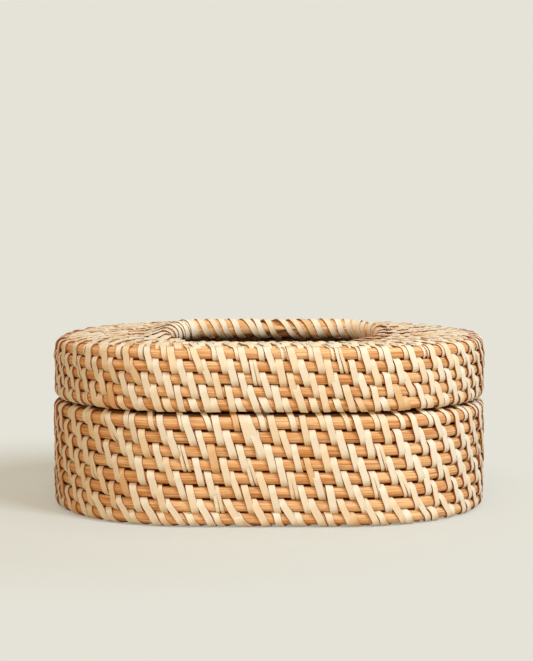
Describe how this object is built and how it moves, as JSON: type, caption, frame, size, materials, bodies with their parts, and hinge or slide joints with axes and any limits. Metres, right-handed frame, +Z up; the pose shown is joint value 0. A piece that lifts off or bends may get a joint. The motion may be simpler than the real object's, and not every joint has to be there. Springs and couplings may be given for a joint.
{
  "type": "baby wipe holder",
  "caption": "Oval coiled-cane box for a pack of baby wipes, with a lift-off lid whose oval opening dispenses the wipes.",
  "frame": {"origin": "middle of the underside, on the surface that the box stands on", "axes": "+X along the length, to the right as seen from the front, +Y from front to back, +Z up"},
  "size_m": [0.2503, 0.1706, 0.1035],
  "materials": {
    "cane_rod": "satin, lengthwise grain",
    "cane_peel": "satin, split peel"
  },
  "bodies": {
    "base": {"base_edge_lashing": "cane_peel", "base_floor_coil": "cane_rod", "base_floor_lashing_1": "cane_peel", "base_floor_lashing_2": "cane_peel", "base_floor_lashing_3": "cane_peel", "base_floor_lashing_4": "cane_peel", "base_floor_lashing_5": "cane_peel", "base_floor_lashing_6": "cane_peel", "base_floor_lashing_7": "cane_peel", "base_floor_lashing_8": "cane_peel", "base_floor_lashing_9": "cane_peel", "base_wall_coil": "cane_rod", "base_wall_lashing_1": "cane_peel", "base_wall_lashing_2": "cane_peel", "base_wall_lashing_3": "cane_peel", "base_wall_lashing_4": "cane_peel", "base_wall_lashing_5": "cane_peel", "base_wall_lashing_6": "cane_peel", "base_wall_lashing_7": "cane_peel", "locating_coil": "cane_rod", "locating_lashing": "cane_peel", "locating_tie_1": "cane_peel", "locating_tie_2": "cane_peel", "locating_tie_3": "cane_peel", "locating_tie_4": "cane_peel", "locating_tie_5": "cane_peel"},
    "lid": {"lid_shoulder_lashing": "cane_peel", "lid_top_coil": "cane_rod", "lid_top_lashing_1": "cane_peel", "lid_top_lashing_2": "cane_peel", "lid_top_lashing_3": "cane_peel", "lid_top_lashing_4": "cane_peel", "lid_top_lashing_5": "cane_peel", "lid_top_lashing_6": "cane_peel", "lid_top_lashing_7": "cane_peel", "lid_wall_coil": "cane_rod", "lid_wall_lashing_1": "cane_peel", "lid_wall_lashing_2": "cane_peel", "lid_wall_lashing_3": "cane_peel", "lid_wall_lashing_4": "cane_peel"}
  },
  "joints": [
    {"name": "lid_lift", "type": "slide", "parent": "base", "child": "lid", "axis": [0, 0, 1], "range_m": [0, 0.12]}
  ]
}
